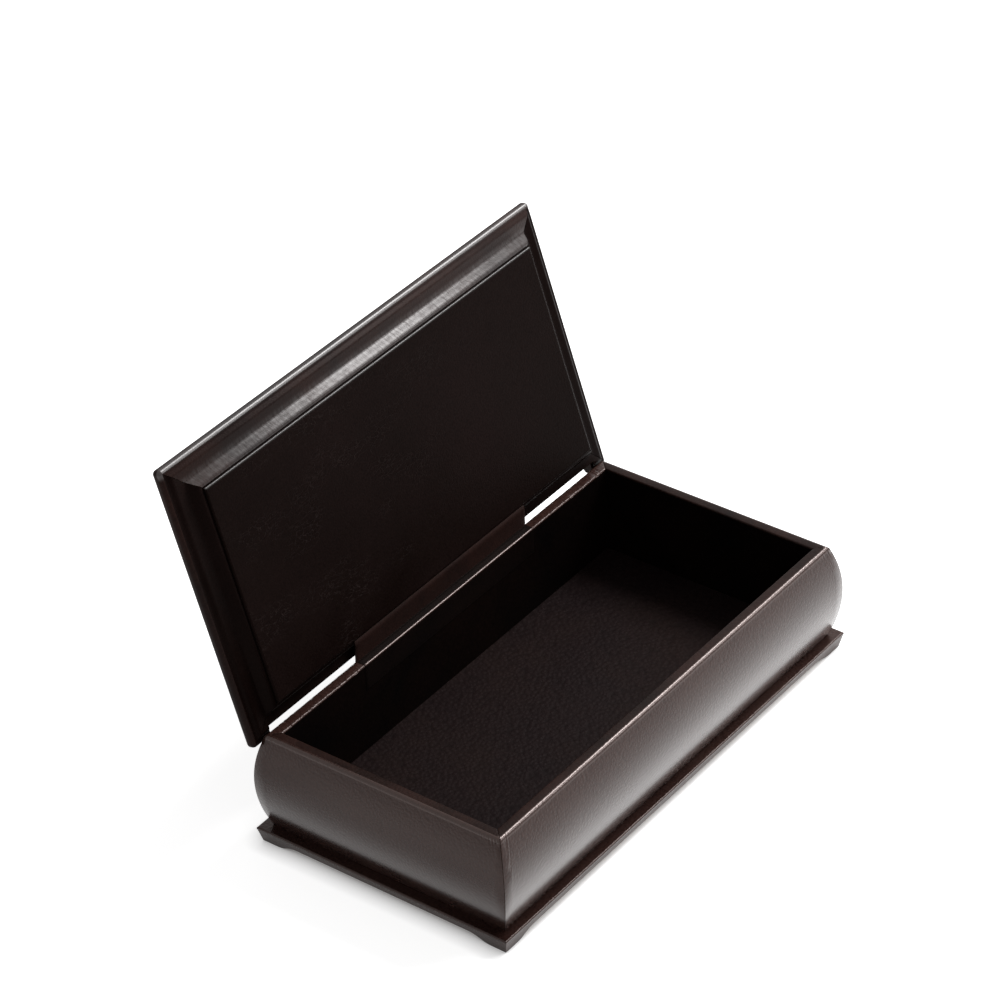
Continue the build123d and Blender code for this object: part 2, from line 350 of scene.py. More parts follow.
def dress(node, material):
    """Gives a CAD node its material."""
    data = frame["nodes"][node].data
    data.materials.clear()
    data.materials.append(material)


# ---------------------------------------------------------------- shader helpers


def put(tree, value, socket):
    """Links an output to an input, or sets a plain value on it."""
    if isinstance(value, bpy.types.NodeSocket):
        tree.links.new(value, socket)
    else:
        socket.default_value = value


def add(tree, kind, **values):
    """Adds a node; a value named after an input goes there, the others are properties."""
    node = tree.nodes.new(kind)
    for name, value in values.items():
        label = name.replace("_", " ")
        if label in node.inputs:
            put(tree, value, node.inputs[label])
        else:
            setattr(node, name, value)
    return node


def calculate(tree, operation, *values):
    """Result of a maths node that is given outputs and plain numbers."""
    node = add(tree, "ShaderNodeMath", operation=operation)
    for value, socket in zip(values, node.inputs):
        put(tree, value, socket)
    return node.outputs[0]


def mix_colours(tree, share, first, second, blend_type="MIX"):
    """Second colour laid over the first by a share."""
    node = add(tree, "ShaderNodeMix", data_type="RGBA", blend_type=blend_type)
    for value, place in ((share, 0), (first, 6), (second, 7)):
        put(tree, value, node.inputs[place])
    return node.outputs[2]


def ramp(tree, value, start, end, low=0.0, high=1.0, kind="SMOOTHSTEP"):
    """Mask that runs from low to high while a value runs from start to end."""
    node = add(
        tree, "ShaderNodeMapRange", interpolation_type=kind, Value=value,
        From_Min=start, From_Max=end, To_Min=low, To_Max=high)
    return node.outputs["Result"]


def object_place(tree):
    """Object coordinates."""
    return tree.nodes.new("ShaderNodeTexCoord").outputs["Object"]


def stretched(tree, scale, turn=0.0):
    """Object coordinates, scaled along the axes and turned about Y."""
    node = add(
        tree, "ShaderNodeMapping", Vector=object_place(tree), Rotation=(0.0, turn, 0.0), Scale=scale)
    return node.outputs["Vector"]


def warped(tree, place, amount, **look):
    """Coordinates that a noise pushes about."""
    warp = add(tree, "ShaderNodeTexNoise", Vector=place, **look)
    shift = add(
        tree, "ShaderNodeVectorMath", operation="SCALE", Vector=warp.outputs["Color"], Scale=amount)
    moved = add(tree, "ShaderNodeVectorMath", operation="ADD", Vector=shift.outputs[0])
    put(tree, place, moved.inputs[1])
    return moved.outputs[0]


def lid_mask(tree, direction, start, end):
    """Mask that rises from one place to another along a direction of the shut lid."""
    turned = OPENED.to_3x3() @ Vector(direction)
    offset = OPENED.translation.dot(turned)
    along = add(tree, "ShaderNodeVectorMath", operation="DOT_PRODUCT", Vector=object_place(tree))
    put(tree, turned, along.inputs[1])
    return ramp(tree, along.outputs["Value"], start + offset, end + offset)


def shade(name, share=1.0):
    """One of the box's colours with alpha, darkened to a share."""
    return (*[part * share for part in getattr(colours(), name)], 1.0)


def new_material(name):
    """Fresh material and its node tree."""
    material = bpy.data.materials.new(name)
    material.use_nodes = True
    return material, material.node_tree


def set_shader(tree, **values):
    """Puts values and outputs on the inputs of a material's shader."""
    for name, value in values.items():
        put(tree, value, tree.nodes["Principled BSDF"].inputs[name.replace("_", " ")])


def polish(tree, mask, low, high, weight, roughness):
    """Adds a coat where a mask runs from low to high."""
    set_shader(
        tree, Coat_Roughness=roughness, Coat_Weight=ramp(tree, mask, low, high, 0.0, weight))


# ---------------------------------------------------------------- shader groups

VALUE = "NodeSocketFloat"
COLOUR = "NodeSocketColor"
PLACE = ("Vector", "NodeSocketVector", None)


def new_group(name, inputs, outputs):
    """Shader group; gives it, the outputs of its entry and the inputs of its exit."""
    group = bpy.data.node_groups.new(name, "ShaderNodeTree")
    for label, kind, default in inputs:
        socket = group.interface.new_socket(name=label, in_out="INPUT", socket_type=kind)
        if default is not None:
            socket.default_value = default
    for label, kind in outputs:
        group.interface.new_socket(name=label, in_out="OUTPUT", socket_type=kind)
    entry = group.nodes.new("NodeGroupInput")
    leave = group.nodes.new("NodeGroupOutput")
    return group, entry.outputs, leave.inputs


def leather_grain_group():
    """Fine pebbled grain: a height, and a mask of the hollows between the pebbles."""
    found = bpy.data.node_groups.get("leather_grain")
    if found:
        return found
    group, entry, leave = new_group(
        "leather_grain", [PLACE, ("Pebbles", VALUE, 1200.0)],
        [("Height", VALUE), ("Hollows", VALUE)])
    moved = warped(group, entry["Vector"], 0.0007, Scale=260.0, Detail=2.0)
    pebbles = add(
        group, "ShaderNodeTexVoronoi", feature="SMOOTH_F1", Vector=moved,
        Scale=entry["Pebbles"], Smoothness=0.6)
    fine = add(
        group, "ShaderNodeTexNoise", Vector=entry["Vector"], Scale=2600.0, Detail=3.0,
        Roughness=0.6)
    raised = calculate(group, "SUBTRACT", 1.0, pebbles.outputs["Distance"])
    height = calculate(group, "MULTIPLY_ADD", fine.outputs["Fac"], 0.35, raised)
    put(group, height, leave["Height"])
    put(group, pebbles.outputs["Distance"], leave["Hollows"])
    return group


def leather_clouds_group():
    """Slow changes of tone over the hide: a colour, and the mask behind it."""
    found = bpy.data.node_groups.get("leather_clouds")
    if found:
        return found
    group, entry, leave = new_group(
        "leather_clouds",
        [PLACE, ("Dark", COLOUR, None), ("Light", COLOUR, None), ("Scale", VALUE, 22.0)],
        [("Color", COLOUR), ("Mask", VALUE)])
    clouds = add(
        group, "ShaderNodeTexNoise", Vector=entry["Vector"], Scale=entry["Scale"], Detail=5.0,
        Roughness=0.62, Distortion=0.3)
    mask = ramp(group, clouds.outputs["Fac"], 0.36, 0.72, kind="LINEAR")
    put(group, mix_colours(group, mask, entry["Dark"], entry["Light"]), leave["Color"])
    put(group, mask, leave["Mask"])
    return group


def leather_creases_group():
    """Thin branching creases in patches, as a mask."""
    group, entry, leave = new_group(
        "leather_creases",
        [PLACE, ("Scale", VALUE, 150.0), ("Patches", VALUE, 26.0), ("Width", VALUE, 0.06)],
        [("Mask", VALUE)])
    moved = warped(group, entry["Vector"], 0.012, Scale=90.0, Detail=4.0, Roughness=0.7)
    cells = add(
        group, "ShaderNodeTexVoronoi", feature="DISTANCE_TO_EDGE", Vector=moved,
        Scale=entry["Scale"])
    patch = add(
        group, "ShaderNodeTexNoise", Vector=entry["Vector"], Scale=entry["Patches"], Detail=3.0)
    line = ramp(group, cells.outputs["Distance"], 0.0, entry["Width"], 1.0, 0.0, "LINEAR")
    where = ramp(group, patch.outputs["Fac"], 0.5, 0.68, kind="LINEAR")
    put(group, calculate(group, "MULTIPLY", line, where), leave["Mask"])
    return group


# ---------------------------------------------------------------- finishes of the hides

HIDE_TINT = (1.0, 0.84, 0.80, 1.0)
# darkens the hollows between the grain's pebbles: painted shade
HOLLOW_PAINTED_SHADE = (0.45, 0.42, 0.42, 1.0)
WORN_CREASE = (0.020, 0.0132, 0.0120, 1.0)
TO_BACK = (0.0, 1.0, 0.0)
TO_TOP = (0.0, 0.0, 1.0)


def burnish(tree):
    """Coat that shows more the further the hide turns from the eye."""
    facing = add(tree, "ShaderNodeLayerWeight", Blend=0.5).outputs["Facing"]
    # it fades again at the most glancing angles, where it would turn the hide white
    sheen = calculate(tree, "MULTIPLY", facing, ramp(tree, facing, 0.97, 0.80))
    polish(tree, sheen, 0.34, 0.66, 0.85, 0.22)


def polish_lid_front(tree):
    """Coat under the lid's front edge, from handling."""
    low, high = closed_box("lid_cover_leather")
    middle = (low.z + high.z) / 2
    at_front = lid_mask(
        tree, TO_BACK, 5.0 * MM - PLINTH_HALF_DEPTH, 2.0 * MM - PLINTH_HALF_DEPTH)
    under = lid_mask(tree, TO_TOP, middle - 0.2 * MM, middle - 1.2 * MM)
    polish(tree, calculate(tree, "MULTIPLY", at_front, under), 0.0, 1.0, 1.0, 0.32)


def polish_frame_front(tree):
    """Streaks of coat on the frame's front side, stronger towards the cove."""
    streaks = add(
        tree, "ShaderNodeTexNoise", Vector=stretched(tree, (1.0, 0.25, 0.25)), Scale=900.0,
        Detail=4.0, Roughness=0.7)
    inner = lid_mask(
        tree, TO_BACK, 5.5 * MM - PLINTH_HALF_DEPTH, 10.0 * MM - PLINTH_HALF_DEPTH)
    mask = calculate(tree, "MULTIPLY", streaks.outputs["Fac"], inner)
    polish(tree, mask, 0.05, 0.8, 0.9, 0.34)


def crease_panel(tree):
    """Creases, most towards the hinge-side left corner, and a coat along the top edge."""
    split = add(tree, "ShaderNodeSeparateXYZ", Vector=object_place(tree))
    creased = add(
        tree, "ShaderNodeGroup", node_tree=leather_creases_group(),
        Vector=stretched(tree, (0.42, 1.0, 1.0), math.radians(24.0)),
        Scale=430.0, Patches=58.0, Width=0.05)
    left = ramp(tree, split.outputs["X"], 0.06, -0.075, 0.12)
    shown = calculate(tree, "MULTIPLY", creased.outputs["Mask"], left)
    fold = add(
        tree, "ShaderNodeBump", Strength=1.0, Distance=0.2 * MM,
        Height=calculate(tree, "SUBTRACT", 1.0, shown))
    shader = tree.nodes["Principled BSDF"]
    bump = shader.inputs["Normal"].links[0].from_node
    put(tree, fold.outputs["Normal"], bump.inputs["Normal"])
    under = shader.inputs["Base Color"].links[0].from_socket
    set_shader(tree, Base_Color=mix_colours(tree, shown, under, WORN_CREASE))
    top = (OPENED @ Vector((0.0, PANEL[0].y, PANEL[0].z))).z
    polish(tree, split.outputs["Z"], top - 1.0 * MM, top - 0.3 * MM, 0.6, 0.3)


# ---------------------------------------------------------------- materials

# dark and light are names of colours; spread is how far the roughness strays to either side
HIDES = {
    # walls and the plinth's top
    "burnished_cover_hide": dict(
        dark="leather", light="leather_light", roughness=0.27, spread=0.03, specular=0.26,
        pebbles=900.0, grain=0.8, deep=0.12 * MM, finish=burnish),
    # rubbed glossy by hands, where the hide turns over an edge
    "rubbed_edge_hide": dict(
        dark="leather", light="leather_light", roughness=0.26, spread=0.03, specular=0.5,
        pebbles=900.0, grain=0.5),
    # darker and duller on top of the rim: painted shade in a darker tone, with a duller gloss
    "pressed_rim_hide": dict(
        dark="panel", light="leather", roughness=0.4, spread=0.05, specular=0.1,
        pebbles=900.0, grain=0.6),
    "plinth_side_hide": dict(
        dark="leather", light="leather_light", roughness=0.33, spread=0.04, specular=0.28,
        pebbles=900.0, grain=0.6),
    "lid_cover_hide": dict(
        dark="panel_light", light="leather", roughness=0.34, spread=0.05, specular=0.06,
        pebbles=1000.0, grain=0.4, finish=polish_lid_front),
    "lid_frame_hide": dict(
        dark="panel", light="panel_light", roughness=0.4, spread=0.06, specular=0.02,
        pebbles=1500.0),
    # the frame's leather in lighter tones on its front side: painted light where it is turned up with the lid
    # open; its coat streaks are gloss from handling
    "handled_frame_hide": dict(
        dark="panel_light", light="leather", roughness=0.36, spread=0.05, specular=0.08,
        pebbles=1500.0, grain=0.4, finish=polish_frame_front),
    "matt_panel_hide": dict(
        dark="panel", light="panel_light", roughness=0.5, spread=0.07, specular=0.02,
        pebbles=1300.0, grain=0.6, clouds=14.0, finish=crease_panel),
    # darker than the tray's floor: painted shade inside the walls
    "wall_lining_hide": dict(
        dark="lining", light="panel", roughness=0.55, spread=0.06, specular=0.04,
        pebbles=620.0, grain=0.5),
    "tray_floor_hide": dict(
        dark="tray_floor", light="panel_light", roughness=0.5, spread=0.06, specular=0.06,
        pebbles=620.0, grain=0.9, deep=0.2 * MM),
    # as dark as the lining: painted shade on the strip inside the tray and over the rim
    "hinge_strip_hide": dict(
        dark="lining", light="panel", roughness=0.45, spread=0.06, specular=0.1,
        pebbles=1500.0),
    # lighter where the strip bends up between the rim and the lid: painted light, a lit copy of the strip's hide
    "flexed_strip_hide": dict(
        dark="panel_light", light="leather", roughness=0.45, spread=0.06, specular=0.1,
        pebbles=1500.0),
}


def hide(name):
    """Leather of that name, made at its first use."""
    return bpy.data.materials.get(name) or leather_material(name, **HIDES[name])


def leather_material(
    name, dark, light, roughness, spread, specular,
    pebbles=1100.0, grain=0.3, deep=0.1 * MM, clouds=22.0, finish=None,
):
    """Leather with grain and clouds of tone, and what a finish adds to it."""
    material, tree = new_material(name)
    place = object_place(tree)
    tone = add(
        tree, "ShaderNodeGroup", node_tree=leather_clouds_group(), Vector=place,
        Dark=shade(dark), Light=shade(light), Scale=clouds)
    grained = add(
        tree, "ShaderNodeGroup", node_tree=leather_grain_group(), Vector=place, Pebbles=pebbles)
    bump = add(
        tree, "ShaderNodeBump", Strength=grain, Distance=deep, Height=grained.outputs["Height"])
    set_shader(
        tree, Specular_IOR_Level=specular, Specular_Tint=HIDE_TINT, Normal=bump.outputs["Normal"],
        # the grain's hollows are darkened: painted shade
        Base_Color=mix_colours(
            tree, grained.outputs["Hollows"], tone.outputs["Color"], HOLLOW_PAINTED_SHADE, "MULTIPLY"),
        Roughness=ramp(
            tree, tone.outputs["Mask"], 0.0, 1.0, roughness - spread, roughness + spread,
            "LINEAR"))
    if finish:
        finish(tree)
    return material


def board_material():
    """Plain board with long fibres."""
    found = bpy.data.materials.get("fibre_board")
    if found:
        return found
    material, tree = new_material("fibre_board")
    fibres = add(
        tree, "ShaderNodeTexNoise", Vector=stretched(tree, (0.06, 1.0, 1.0)), Scale=900.0,
        Detail=6.0)
    tone = mix_colours(tree, fibres.outputs["Fac"], shade("board"), shade("board", 0.6))
    set_shader(tree, Roughness=0.7, Base_Color=tone)
    return material


def cloth_material():
    """Thin woven sheet under the plinth."""
    material, tree = new_material("sole_cloth")
    place = object_place(tree)
    waves = [
        add(tree, "ShaderNodeTexWave", Vector=place, Scale=420.0, bands_direction=axis)
        for axis in ("X", "Y")]
    weave = calculate(tree, "MAXIMUM", *[wave.outputs["Fac"] for wave in waves])
    bump = add(tree, "ShaderNodeBump", Strength=0.5, Distance=0.1 * MM, Height=weave)
    set_shader(
        tree, Roughness=0.9, Specular_IOR_Level=0.2, Normal=bump.outputs["Normal"],
        Base_Color=mix_colours(tree, weave, shade("cloth", 0.5), shade("cloth")))
    return material


# ---------------------------------------------------------------- walls


def belly_arc(height, bow):
    """Radius and half angle, in degrees, of the arc over a wall's height."""
    radius = (height ** 2 / 4 + bow ** 2) / (2 * bow)
    return radius, math.degrees(math.asin(height / (2 * radius)))


def wall_section(mesh, over_rim):
    """Leather skin of a wall, with its turn over the rim or cut off under it."""
    size = sizes()
    rim_y = INNER_Y + size.wall
    bow = BELLY_Y - rim_y
    height = RIM_TOP - WALL_FOOT
    radius, half = belly_arc(height, bow)
    middle = (RIM_TOP + WALL_FOOT) / 2
    centre = radius - bow
    outer, inner = size.rim_outer_round, size.rim_inner_round
    top = RIM_TOP if over_rim else CORE_TOP
    # the belly's arc stops where the rim's rounding meets it
    sine = ((top - outer if over_rim else top) - middle) / radius
    stop = math.degrees(math.asin(sine))
    pen = Pen(mesh, 0.0, WALL_FOOT)
    pen.arc(centre, middle, -(half + stop), BELLY_STEPS)
    if over_rim:
        near = pen.tip.co.y
        pen.curve(
            [(near, top - outer), (near + 0.1 * outer, top - 0.45 * outer),
             (near + 0.45 * outer, top), (near + outer, top)], 6)
        pen.line(size.wall / 2, top)
        pen.line(size.wall - inner, top)
        pen.curve(
            [(size.wall - inner, top), (size.wall - 0.45 * inner, top),
             (size.wall, top - 0.45 * inner), (size.wall, top - inner)], 4)
        pen.line(size.wall, CORE_TOP)
        pen.line(size.leather, CORE_TOP)
    else:
        pen.line(pen.tip.co.y + size.leather, top)
    # back down behind the leather, on the same arc set in by a skin's thickness
    start = math.degrees(math.asin((CORE_TOP - middle) / radius))
    first = centre + size.leather - radius * math.cos(math.radians(start))
    pen.line(first, CORE_TOP)
    pen.arc(centre + size.leather, middle, start + half, BELLY_STEPS)
    pen.close()


def pleat(place, depth, reach, drop, seed):
    """Height, as a share, of the pleats at a distance from the corner and below the rim."""
    depth = max(depth, 0.0)
    wander = noise.noise((place * 260.0, depth * 70.0, seed))
    ridge = math.sin(place / PLEAT_HALF_WAVE * math.pi + wander * 4.0 + depth * 110.0)
    fade = math.exp(-((place / reach) ** 2)) * math.exp(-((depth / drop) ** 1.5))
    under_rim = min(1.0, depth / PLEAT_RISE) ** 1.5
    uneven = 0.3 + 1.1 * noise.noise((place * 520.0, depth * 110.0, seed + 5.4))
    return ridge * fade * (0.12 + 0.88 * under_rim) * uneven


def add_pleats(mesh, half_length, half_depth, seed):
    """Raises the pleats on the outside of a front-facing wall skin."""
    size = sizes()
    mesh.normal_update()
    moves = {}
    for vertex in mesh.verts:
        inward = vertex.co.y + half_depth
        outside = vertex.normal.y < -0.2 or (vertex.normal.z > 0.4 and inward < size.wall / 2)
        if not outside or vertex.co.z < WALL_FOOT + 2.0 * MM:
            continue
        corner = half_length - inward - abs(vertex.co.x)
        if corner < size.mitre_round * 1.6:
            continue
        end_seed = seed if vertex.co.x < 0.0 else seed + 7.3
        share = pleat(
            corner, RIM_TOP - vertex.co.z, size.pleat_reach, size.pleat_drop, end_seed)
        moves[vertex] = vertex.normal * (share * size.pleat_height)
    for vertex, move in moves.items():
        vertex.co += move


def crumple_rim(mesh, half_length):
    """Wrinkles the top of a rim outside the hinge strip."""
    size = sizes()
    mesh.normal_update()
    for vertex in mesh.verts:
        along = abs(vertex.co.x)
        if vertex.co.z < CORE_TOP + 0.2 * size.leather or along < STRIP_HALF + MM:
            continue
        if half_length - along < 2.0 * MM + size.wall:
            continue
        rough = noise.noise((vertex.co.x * 620.0, vertex.co.y * 500.0, 1.3))
        fine = noise.noise((vertex.co.x * 1500.0, vertex.co.y * 900.0, 6.2))
        lift = min(0.0, rough) + 0.4 * fine - 0.15
        vertex.co.z += size.crumple * lift


def spaced(start, stop, step):
    """Places from start up to stop, a step apart."""
    count = int(abs(stop - start) / step)
    sign = 1.0 if stop > start else -1.0
    return [start + sign * step * turn for turn in range(count + 1)]


def wall_skin(half_length, half_depth, parts, seed, crumpled=False):
    """Front-facing wall skin in one or more spans, mitred where a span has no start or end."""
    size = sizes()
    near = half_length - PLEAT_START
    far = half_length - 2.0 * size.pleat_reach
    whole = bmesh.new()
    for start, end, over_rim in parts:
        span = bmesh.new()
        wall_section(span, over_rim)
        low = -half_length - BELLY_Y if start is None else start
        high = half_length + BELLY_Y if end is None else end
        extrude_along(span, low, high)
        bmesh.ops.translate(span, verts=span.verts, vec=(0.0, -half_depth, 0.0))
        caps = mitre(span, half_length, half_depth, start is None, end is None)
        soften(span, caps, size.mitre_round)
        loops = spaced(near, far, PLEAT_STEP)
        if crumpled and over_rim:
            loops += spaced(STRIP_HALF, far, CRUMPLE_STEP)
        if start is None:
            cross_loops(span, [-place for place in loops])
        if end is None:
            cross_loops(span, loops)
        pour(span, whole)
    add_pleats(whole, half_length, half_depth, seed)
    if crumpled:
        crumple_rim(whole, half_length)
    return whole


def mark_rim(mesh, half_depth, pressed):
    """Gives the rim's rounded edge the rubbed hide, and its top the hide with painted shade."""
    size = sizes()
    for face in mesh.faces:
        centre = face.calc_center_median()
        inward = centre.y + half_depth
        if centre.z < RIM_TOP - 0.95 * size.rim_outer_round:
            continue
        if inward < 0.8 * size.rim_outer_round:
            face.material_index = 1
        # the rim's top gets a darker copy of the cover's hide: painted shade
        elif pressed and centre.z > CORE_TOP + 0.2 * size.leather:
            face.material_index = 2


class VALETBOX_OT_walls(bpy.types.Operator):
    """Covers the four bowed walls in leather, with mitred corners and pleats at the rim"""

    bl_idname = "valetbox.walls"
    bl_label = "Wall leather"

    def execute(self, context):
        size = sizes()
        half_x, half_y = INNER_X + size.wall, INNER_Y + size.wall
        hides = (hide("burnished_cover_hide"), hide("rubbed_edge_hide"), hide("pressed_rim_hide"))
        for side, turn, half_length, half_depth in four_sides(half_x, half_y):
            parts = [(None, None, True)]
            if side == "back":
                parts = [(None, -STRIP_HALF, True), (-STRIP_HALF, STRIP_HALF, False),
                         (STRIP_HALF, None, True)]
            mesh = wall_skin(
                half_length, half_depth, parts, seed=turn / 21.0, crumpled=side == "back")
            mark_rim(mesh, half_depth, pressed=side != "back")
            piece(
                f"wall_cover_{side}", mesh, hides, "box",
                [f"wall_leather_{side}"], Matrix.Rotation(math.radians(turn), 4, "Z"))
        return {"FINISHED"}


# ---------------------------------------------------------------- lid


def frame_path(skin):
    """Control points of the lid moulding's underside, a skin's thickness in."""
    size = sizes()
    under = FRAME_LEATHER[1].z - size.leather
    seat = under - size.lip_drop
    ledge = FRAME_LEATHER[0].z
    drop = seat - ledge
    end = size.lip_start + size.lip_run
    cove_end = size.plug_start + size.cove_run
    lip = [(size.lip_start + 2 * skin, under + skin),
           (size.lip_start + size.lip_run / 2 + skin, under + skin),
           (size.lip_start + size.lip_run / 2 + skin, seat + skin), (end + skin, seat + skin)]
    bridge = size.cove_bridge if skin == 0.0 else 0.0
    cove = [(size.plug_start - bridge + skin, seat + skin),
            (size.plug_start - 0.18 * bridge + skin, seat - 0.18 * bridge + skin),
            (size.plug_start + 0.75 * bridge + skin, ledge + drop * 0.15 + skin),
            (cove_end + 0.8 * bridge + skin, ledge + skin)]
    return lip, cove


def frame_section(mesh, width):
    """Leather skin of the lid's moulding: lip, seat, cove and ledge."""
    size = sizes()
    lip, cove = frame_path(0.0)
    under_lip, under_cove = frame_path(size.leather)
    top = FRAME_LEATHER[1].z
    pen = Pen(mesh, lip[0][0], top)
    pen.line(*lip[0])
    pen.curve(lip, LIP_STEPS)
    pen.line((lip[3][0] + cove[0][0]) / 2, cove[0][1])
    pen.line(*cove[0])
    pen.curve(cove, COVE_STEPS)
    pen.line(width, cove[3][1])
    pen.line(width, top)
    pen.line(width - size.leather, top)
    pen.line(width - size.leather, under_cove[3][1])
    pen.line(*under_cove[3])
    pen.curve(under_cove[::-1], COVE_STEPS)
    pen.line(*under_lip[3])
    pen.curve(under_lip[::-1], LIP_STEPS)
    pen.close()


def notched(mesh, half, edge):
    """Cuts the rear notch from a front-facing bar, leaving an ear at each end."""
    whole = bmesh.new()
    for low, high, keep_edge in ((None, -half, False), (-half, half, True), (half, None, False)):
        part = mesh.copy()
        if low is not None:
            cut_off(part, (low, 0.0, 0.0), (-1.0, 0.0, 0.0))
        if high is not None:
            cut_off(part, (high, 0.0, 0.0), (1.0, 0.0, 0.0))
        if keep_edge:
            cut_off(part, (0.0, edge, 0.0), (0.0, -1.0, 0.0))
        pour(part, whole)
    mesh.free()
    return whole


class VALETBOX_OT_lid_frame(bpy.types.Operator):
    """Covers the moulding around the lid's underside in four mitred lengths of leather"""

    bl_idname = "valetbox.lid_frame"
    bl_label = "Lid frame leather"

    def execute(self, context):
        size = sizes()
        width = LID_HALF_LENGTH - PANEL[1].x - PANEL_GAP
        rear = PLINTH_HALF_DEPTH - NOTCH_DEPTH - size.leather
        ears = INNER_X + size.wall - EAR_INSET + size.leather
        for side, turn, half_length, half_depth in four_sides(LID_HALF_LENGTH, PLINTH_HALF_DEPTH):
            mesh = bmesh.new()
            frame_section(mesh, width)
            extrude_along(mesh, -half_length - width, half_length + width)
            bmesh.ops.translate(mesh, verts=mesh.verts, vec=(0.0, -half_depth, 0.0))
            soften(mesh, mitre(mesh, half_length, half_depth), FRAME_MITRE_ROUND)
            if side == "back":
                mesh = notched(mesh, ears, -rear)
            # the front side gets a lighter copy of the frame's hide: painted light
            material = hide("handled_frame_hide" if side == "front" else "lid_frame_hide")
            piece(
                f"lid_frame_cover_{side}", mesh, [material], "lid",
                [f"lid_frame_leather_{side}"],
                OPENED @ Matrix.Rotation(math.radians(turn), 4, "Z"))
        return {"FINISHED"}


class VALETBOX_OT_lid_faces(bpy.types.Operator):
    """Gives the lid's cover and its raised panel their leather"""

    bl_idname = "valetbox.lid_faces"
    bl_label = "Lid cover and panel"

    def execute(self, context):
        dress("lid_cover_leather", hide("lid_cover_hide"))
        dress("lid_panel_leather", hide("matt_panel_hide"))
        return {"FINISHED"}


# ---------------------------------------------------------------- hinge strip


def strip_section(mesh, inside, rim, fold, bend, top):
    """Middle line of the strip: up the lining, over the rim, along the fold and up to the lid."""
    corner = sizes().rim_inner_round
    pen = Pen(mesh, inside, FLAP_FOOT)
    for step in range(1, 9):
        pen.line(inside, FLAP_FOOT + (rim - corner - FLAP_FOOT) * step / 8)
    pen.curve(
        [(inside, rim - corner), (inside, rim - 0.3 * corner), (inside + 0.3 * corner, rim),
         (inside + corner, rim)], 6)
    start = inside + corner
    for step in range(1, 5):
        pen.line(start + (fold.y - CREASE_WIDTH - start) * step / 4, rim)
    front = fold.y - 0.1 * MM
    pen.line(front, rim - CREASE_DEPTH)
    pen.line(fold.y, rim - 0.1 * MM)
    pen.line(front, fold.z)
    pen.curve(
        [(front, fold.z), (fold.y, fold.z + BEND_PULL),
         (bend.y - 0.12 * MM, bend.z - BEND_PULL), (bend.y, bend.z)], 14)
    pen.line(top.y, top.z)


def soften_sharp(mesh, radius, angle):
    """Rounds every edge that turns by more than an angle in degrees."""
    mesh.normal_update()
    sharp = [edge for edge in mesh.edges if len(edge.link_faces) == 2
             and edge.calc_face_angle(0.0) > math.radians(angle)]
    bmesh.ops.bevel(
        mesh, geom=sharp, offset=radius, segments=2, profile=0.5,
        affect="EDGES", material=-1, clamp_overlap=True)


class VALETBOX_OT_hinge_strip(bpy.types.Operator):
    """Makes the one leather strip that hinges the lid, from the inside of the wall to the lid"""

    bl_idname = "valetbox.hinge_strip"
    bl_label = "Hinge strip"

    def execute(self, context):
        size = sizes()
        ledge = FRAME_LEATHER[0].z
        width = LID_HALF_LENGTH - PANEL[1].x - PANEL_GAP
        # on the ledge of the open lid: the strip's end, and the bend where it leaves the ledge
        far = OPENED @ Vector((0.0, PLINTH_HALF_DEPTH - width, ledge))
        near = OPENED @ Vector((0.0, PLINTH_HALF_DEPTH - size.plug_start - size.cove_run, ledge))
        off = (OPENED.to_3x3() @ Vector((0.0, 0.0, -1.0))) * size.leather
        top, bend = far + off, near + off
        inside = INNER_Y - STRIP_PROUD
        rim = RIM_TOP + STRIP_PROUD
        fold = Vector((0.0, HINGE.y - FOLD_SETBACK, rim + FOLD_RISE))
        mesh = bmesh.new()
        strip_section(mesh, inside, rim, fold, bend, top)
        made = bmesh.ops.extrude_edge_only(mesh, edges=mesh.edges[:])
        moved = [item for item in made["geom"] if isinstance(item, bmesh.types.BMVert)]
        bmesh.ops.translate(mesh, verts=moved, vec=(2 * STRIP_HALF, 0.0, 0.0))
        bmesh.ops.translate(mesh, verts=mesh.verts, vec=(-STRIP_HALF, 0.0, 0.0))
        cross_loops(mesh, spaced(-STRIP_HALF + STRIP_STEP, STRIP_HALF - 1.0 * MM, STRIP_STEP))
        bmesh.ops.recalc_face_normals(mesh, faces=mesh.faces)
        if sum(face.normal.y * face.calc_area() for face in mesh.faces) > 0.0:
            bmesh.ops.reverse_faces(mesh, faces=mesh.faces)
        bmesh.ops.solidify(mesh, geom=mesh.faces[:], thickness=size.leather)
        soften_sharp(mesh, STRIP_EDGE_ROUND, 60.0)
        # the inner edge of the rim gets the second hide, the free part above the rim the third; the first and
        # third are shaded and lit copies of one hide: painted shade inside the tray and over the rim, painted
        # light on the free part
        for face in mesh.faces:
            centre = face.calc_center_median()
            if centre.z > rim + 0.05 * MM:
                face.material_index = 2
            elif centre.z > rim - size.rim_inner_round and centre.y < inside + size.rim_inner_round:
                face.material_index = 1
        strip = piece(
            "hinge_strip", mesh,
            (hide("hinge_strip_hide"), hide("rubbed_edge_hide"), hide("flexed_strip_hide")),
            nodes=("hinge_leaf_box", "hinge_leaf_lid"))
        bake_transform(strip)
        return {"FINISHED"}


# ---------------------------------------------------------------- tray, plinth and boards


class VALETBOX_OT_tray(bpy.types.Operator):
    """Gives the tray's floor and lining their leather"""

    bl_idname = "valetbox.tray"
    bl_label = "Tray lining"

    def execute(self, context):
        dress("floor_leather", hide("tray_floor_hide"))
        for side in ("front", "back", "left", "right"):
            dress(f"wall_lining_{side}", hide("wall_lining_hide"))
        return {"FINISHED"}


